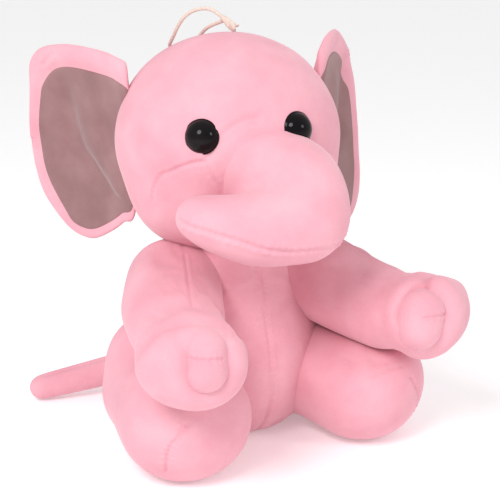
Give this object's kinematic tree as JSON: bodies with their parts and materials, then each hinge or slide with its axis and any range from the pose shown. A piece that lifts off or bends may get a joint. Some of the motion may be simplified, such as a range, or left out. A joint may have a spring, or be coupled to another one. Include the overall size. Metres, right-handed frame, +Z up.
{
  "type": "stuffed elephant",
  "caption": "Sitting stuffed elephant with swept-back lined ears, a curled trunk, domed button eyes, soft swinging limbs and a cord hanging loop.",
  "frame": {"origin": "centre of the flat seat on the surface that the toy sits on", "axes": "+Z up, the toy faces -Y, the toy's own left side is +X"},
  "size_m": [0.238, 0.2443, 0.2598],
  "materials": {
    "pink_velour": "short-pile velour",
    "grey_velour": "short-pile velour",
    "stuffing": "polyester fibre",
    "eye": "polished",
    "washer": "moulded",
    "loop_cord": "soft braid"
  },
  "bodies": {
    "torso": {"torso_right_panel": "pink_velour", "torso_left_panel": "pink_velour", "seat_panel": "pink_velour", "torso_stuffing": "stuffing"},
    "neck": {"neck_stuffing": "stuffing"},
    "head": {"head_crown_panel": "pink_velour", "head_cheek_panel": "pink_velour", "head_stuffing": "stuffing", "right_eye": "eye", "right_eye_washer": "washer", "left_eye": "eye", "left_eye_washer": "washer", "hanging_loop_knot": "loop_cord", "hanging_loop": "loop_cord"},
    "trunk": {"trunk_top_panel": "pink_velour", "trunk_underside_panel": "pink_velour", "trunk_stuffing": "stuffing"},
    "tail": {"tail_cover": "pink_velour", "tail_stuffing": "stuffing"},
    "right_ear": {"right_ear_lining": "grey_velour", "right_ear_wadding": "stuffing", "right_ear_back": "pink_velour"},
    "right_arm": {"right_arm_outer_panel": "pink_velour", "right_arm_inner_panel": "pink_velour", "right_arm_stuffing": "stuffing", "right_hand_lobe": "pink_velour"},
    "right_leg": {"right_leg_outer_panel": "pink_velour", "right_leg_inner_panel": "pink_velour", "right_leg_stuffing": "stuffing"},
    "left_ear": {"left_ear_lining": "grey_velour", "left_ear_wadding": "stuffing", "left_ear_back": "pink_velour"},
    "left_arm": {"left_arm_outer_panel": "pink_velour", "left_arm_inner_panel": "pink_velour", "left_arm_stuffing": "stuffing", "left_hand_lobe": "pink_velour"},
    "left_leg": {"left_leg_outer_panel": "pink_velour", "left_leg_inner_panel": "pink_velour", "left_leg_stuffing": "stuffing"}
  },
  "joints": [
    {"name": "head_nod", "type": "hinge", "parent": "torso", "child": "neck", "pos_m": [0, 0, 0.135], "axis": [1, 0, 0], "range_deg": [-8, 8], "stiffness_Nm_per_rad": 3},
    {"name": "head_turn", "type": "hinge", "parent": "neck", "child": "head", "pos_m": [0, -0.001, 0.135], "axis": [0, 0, 1], "range_deg": [-18, 22], "stiffness_Nm_per_rad": 1.5},
    {"name": "trunk_lift", "type": "hinge", "parent": "head", "child": "trunk", "pos_m": [0.00023, -0.04847, 0.1604], "axis": [0.9697, -0.2418, 0.0349], "range_deg": [-5, 6], "stiffness_Nm_per_rad": 0.8},
    {"name": "right_ear_flap", "type": "hinge", "parent": "head", "child": "right_ear", "pos_m": [-0.05676, 0.03067, 0.17181], "axis": [-0.0339, 0.0084, 0.9994], "range_deg": [-14, 14], "stiffness_Nm_per_rad": 0.2},
    {"name": "right_arm_swing", "type": "hinge", "parent": "torso", "child": "right_arm", "pos_m": [-0.044, -0.011, 0.0975], "axis": [-0.846, 0.3246, -0.423], "range_deg": [0, 20], "stiffness_Nm_per_rad": 1.2},
    {"name": "right_leg_splay", "type": "hinge", "parent": "torso", "child": "right_leg", "pos_m": [-0.05, -0.014, 0.032], "axis": [0, 0, 1], "range_deg": [-22, 5], "stiffness_Nm_per_rad": 1},
    {"name": "left_ear_flap", "type": "hinge", "parent": "head", "child": "left_ear", "pos_m": [0.06542, 0.00021, 0.1762], "axis": [-0.0339, 0.0084, 0.9994], "range_deg": [-14, 14], "stiffness_Nm_per_rad": 0.2},
    {"name": "left_arm_swing", "type": "hinge", "parent": "torso", "child": "left_arm", "pos_m": [0.044, -0.011, 0.0975], "axis": [-0.846, -0.3246, 0.423], "range_deg": [0, 20], "stiffness_Nm_per_rad": 1.2},
    {"name": "left_leg_splay", "type": "hinge", "parent": "torso", "child": "left_leg", "pos_m": [0.05, -0.014, 0.032], "axis": [0, 0, 1], "range_deg": [-5, 22], "stiffness_Nm_per_rad": 1},
    {"name": "tail_wag", "type": "hinge", "parent": "torso", "child": "tail", "pos_m": [-0.007, 0.056, 0.026], "axis": [0, 0, 1], "range_deg": [-45, 5], "stiffness_Nm_per_rad": 0.15}
  ]
}
